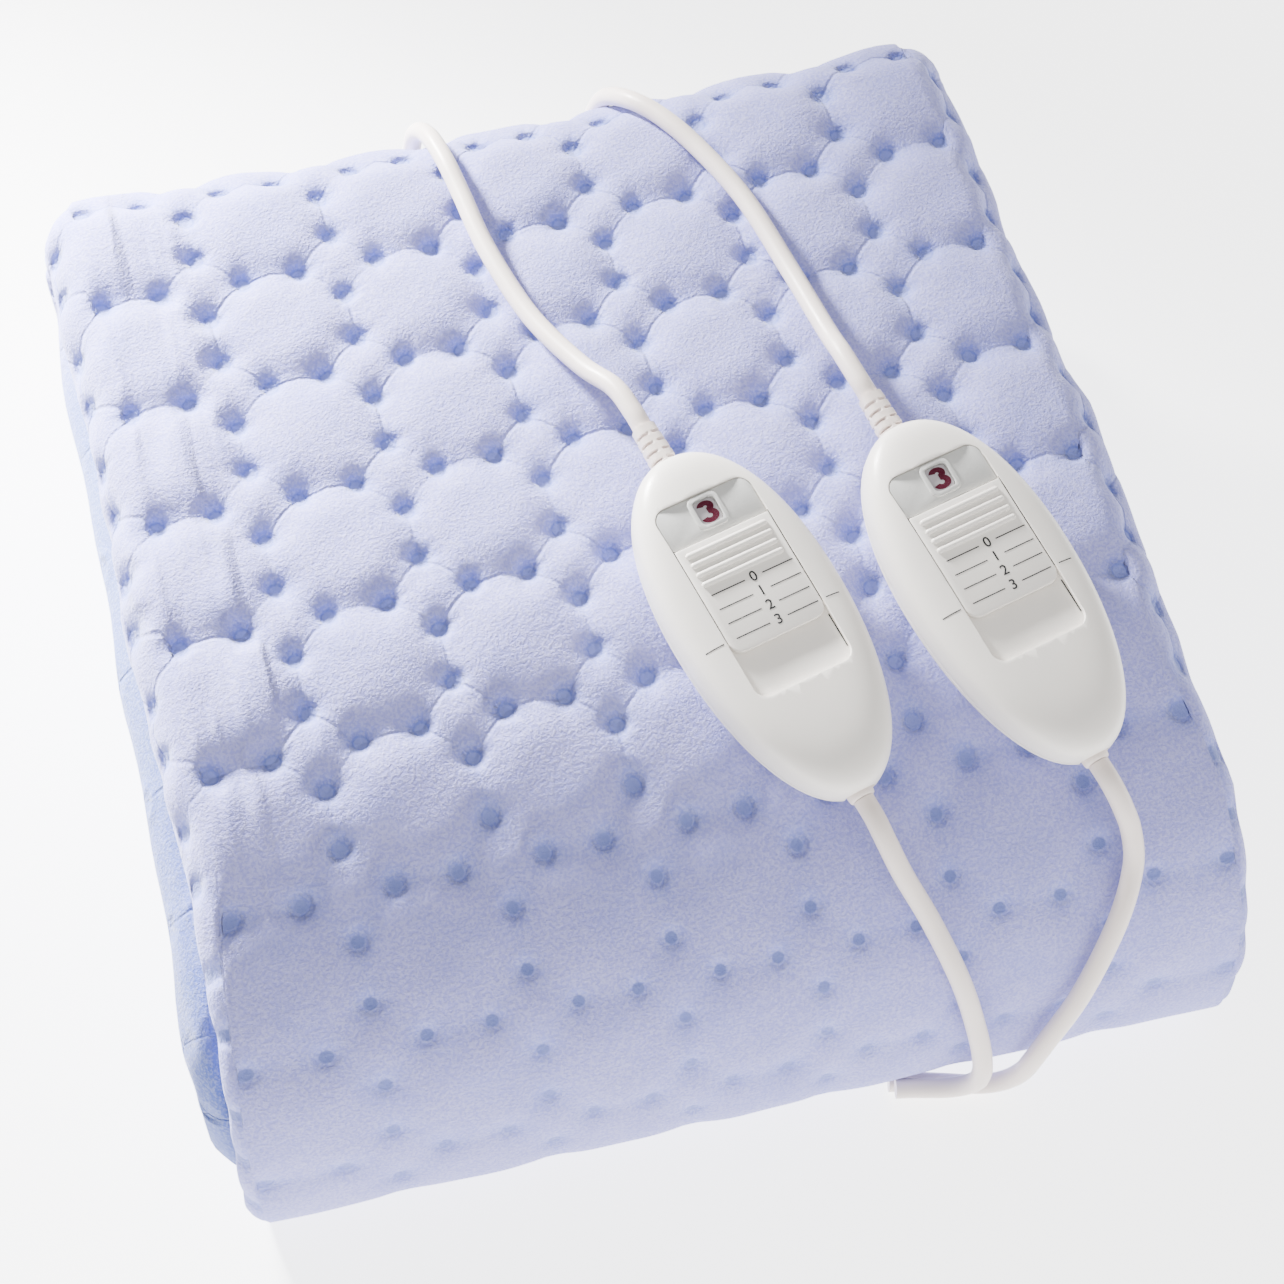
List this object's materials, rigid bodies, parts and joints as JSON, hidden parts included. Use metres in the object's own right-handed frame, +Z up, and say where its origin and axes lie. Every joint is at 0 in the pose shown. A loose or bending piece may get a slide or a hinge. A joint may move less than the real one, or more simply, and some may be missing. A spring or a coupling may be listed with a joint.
{
  "type": "folded electric heated blanket",
  "caption": "Quilted fleece under-blanket folded into a rounded pack, with oval sliding hand controls lying on it, each on its own lead, and the mains leads tied up behind.",
  "frame": {"origin": "centre of the folded pack at the surface it lies on", "axes": "+Z up; -Y to the rounded front fold, +Y to the back fold where the mains leads drop; +X along the front fold, to the side with the controls"},
  "size_m": [0.3272, 0.4042, 0.149],
  "materials": {
    "fleece": "short soft fleece nap, quilted with spot welds",
    "housing": "satin moulded",
    "switch": "satin moulded, printed numbers and lines",
    "display_frame": "satin light grey",
    "display_pane": "smooth tinted pane with a number behind it",
    "cord_jacket": "soft PVC, satin",
    "strain_relief": "soft moulded, ribbed",
    "plug_body": "moulded, satin",
    "plug_pin": "nickel-plated",
    "tie": "smooth strap"
  },
  "bodies": {
    "pack": {"blanket": "fleece", "control_cover_left": "housing", "control_base_left": "housing", "display_strip_left": "display_frame", "display_window_left": "display_pane", "cable_guard_left": "strain_relief", "cable_collar_left": "strain_relief", "plug_guard_left": "strain_relief", "mains_lead_left": "cord_jacket", "mains_tail_left": "cord_jacket", "mains_hank_left": "cord_jacket", "blanket_lead_left": "cord_jacket", "plug_left": "plug_body", "plug_pin_a_left": "plug_pin", "plug_pin_b_left": "plug_pin", "hank_tie_left": "tie", "control_cover_right": "housing", "control_base_right": "housing", "display_strip_right": "display_frame", "display_window_right": "display_pane", "cable_guard_right": "strain_relief", "cable_collar_right": "strain_relief", "plug_guard_right": "strain_relief", "mains_lead_right": "cord_jacket", "mains_tail_right": "cord_jacket", "mains_hank_right": "cord_jacket", "blanket_lead_right": "cord_jacket", "plug_right": "plug_body", "plug_pin_a_right": "plug_pin", "plug_pin_b_right": "plug_pin", "hank_tie_right": "tie"},
    "slider_left": {"slider_left": "switch"},
    "slider_right": {"slider_right": "switch"}
  },
  "joints": [
    {"name": "left_slide", "type": "slide", "parent": "pack", "child": "slider_left", "axis": [0.2306, -0.9604, -0.1564], "range_m": [0, 0.0154]},
    {"name": "right_slide", "type": "slide", "parent": "pack", "child": "slider_right", "axis": [0.2302, -0.959, -0.165], "range_m": [0, 0.0154]}
  ]
}
